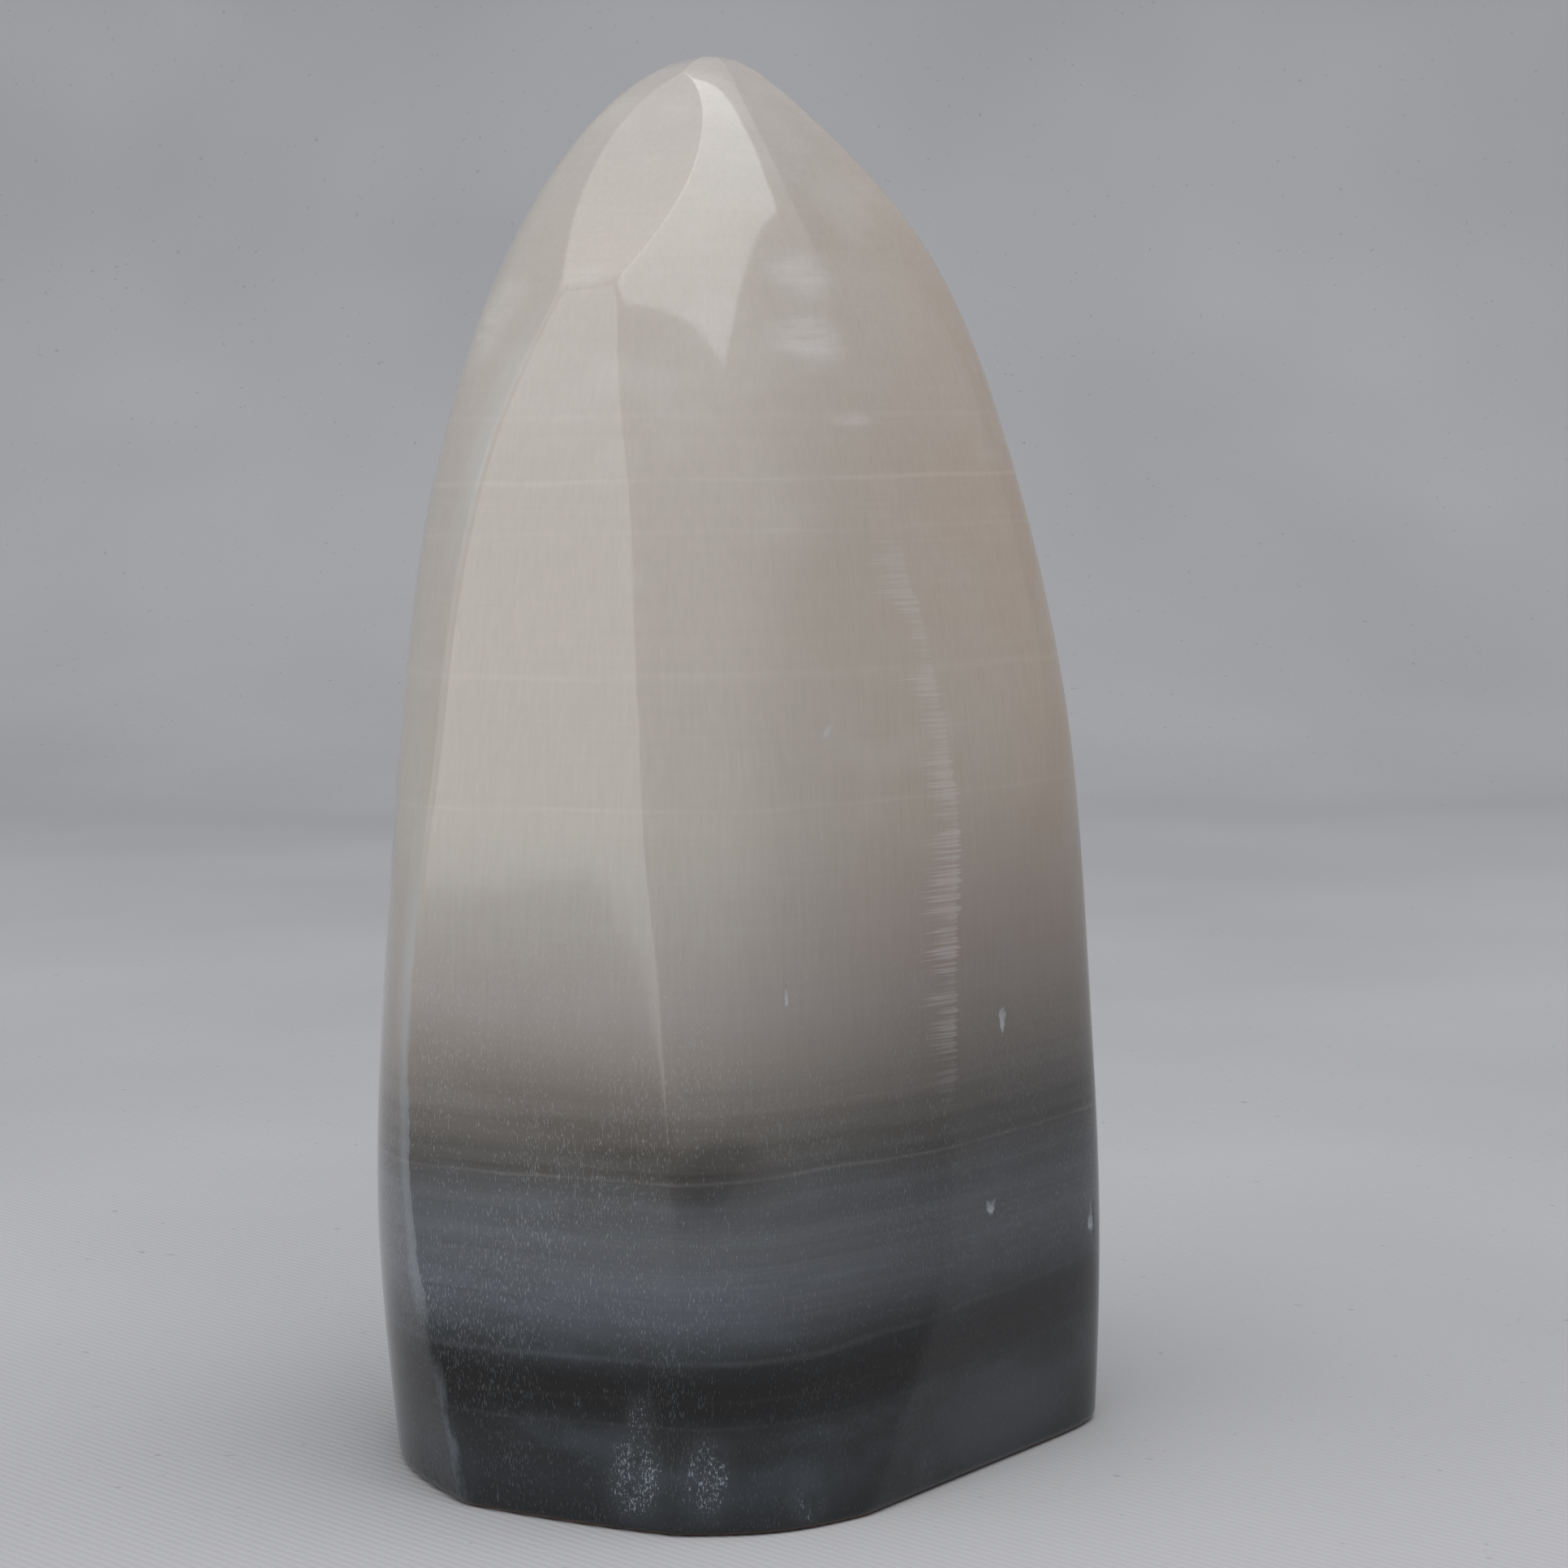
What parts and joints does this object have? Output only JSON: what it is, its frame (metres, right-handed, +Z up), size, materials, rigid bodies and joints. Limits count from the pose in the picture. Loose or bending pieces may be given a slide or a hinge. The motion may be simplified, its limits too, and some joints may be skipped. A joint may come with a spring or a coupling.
{
  "type": "calcite freeform",
  "caption": "Free-standing banded calcite, ground to a rounded point with soft ridges and polished, on a flat foot.",
  "frame": {"origin": "on the floor, under the middle of the stone's outer size", "axes": "+Z up through the point; +X to the viewer's right in the picture; +Y away from the viewer"},
  "size_m": [0.0714, 0.0676, 0.135],
  "materials": {
    "calcite": "hand-polished, slightly translucent, in level bands from cream at the point to dark grey at the foot"
  },
  "bodies": {
    "root": {"stone": "calcite"}
  },
  "joints": []
}
